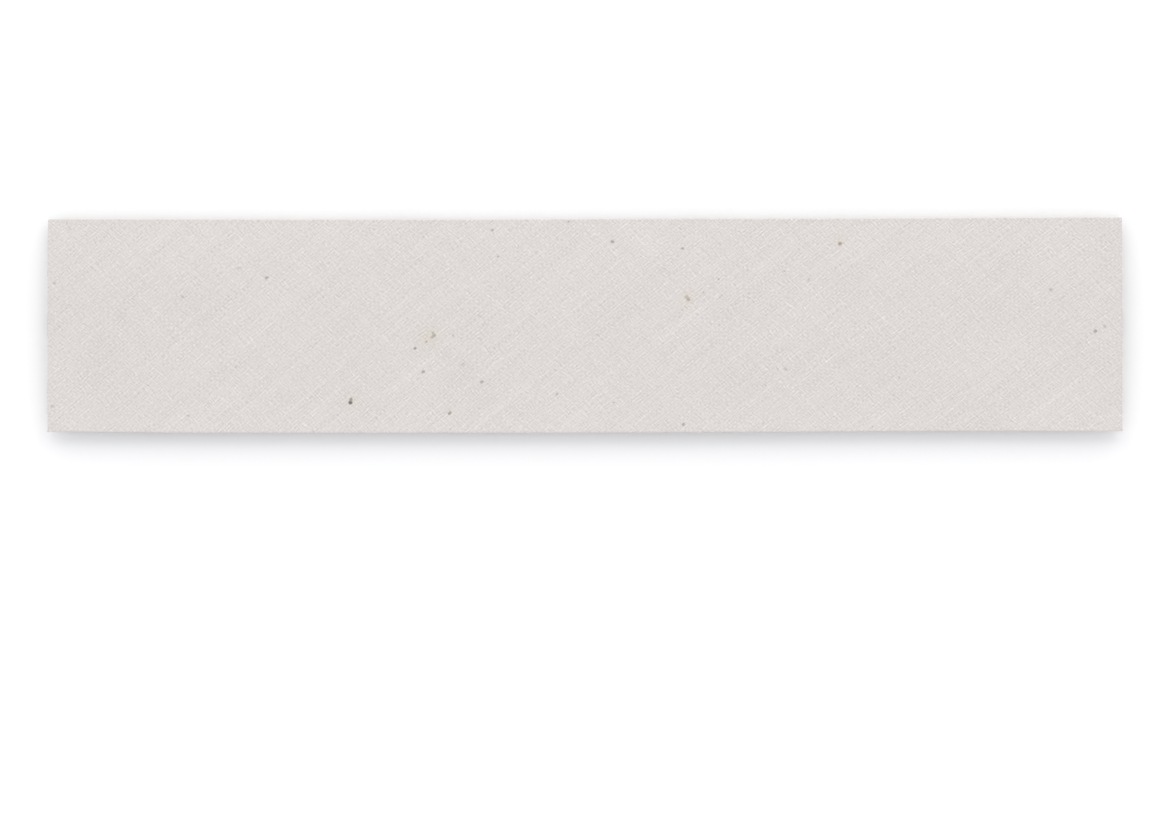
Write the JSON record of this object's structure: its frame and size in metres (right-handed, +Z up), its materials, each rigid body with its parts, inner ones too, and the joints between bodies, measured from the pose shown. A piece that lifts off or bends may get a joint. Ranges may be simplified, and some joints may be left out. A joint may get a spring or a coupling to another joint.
{
  "type": "length of bias binding",
  "caption": "Flat length of plain-woven unbleached cotton bias binding, face up, with its long edges folded to the back.",
  "frame": {"origin": "middle of the underside, where the binding rests", "axes": "+X along the length, +Y across the width, +Z up out of the face"},
  "size_m": [0.1258, 0.0252, 0.0023],
  "materials": {
    "unbleached_cotton": "matte plain weave lying on the bias, warm off-white with small dark seed flecks and thicker places in the yarn"
  },
  "bodies": {
    "root": {"binding": "unbleached_cotton"}
  },
  "joints": []
}
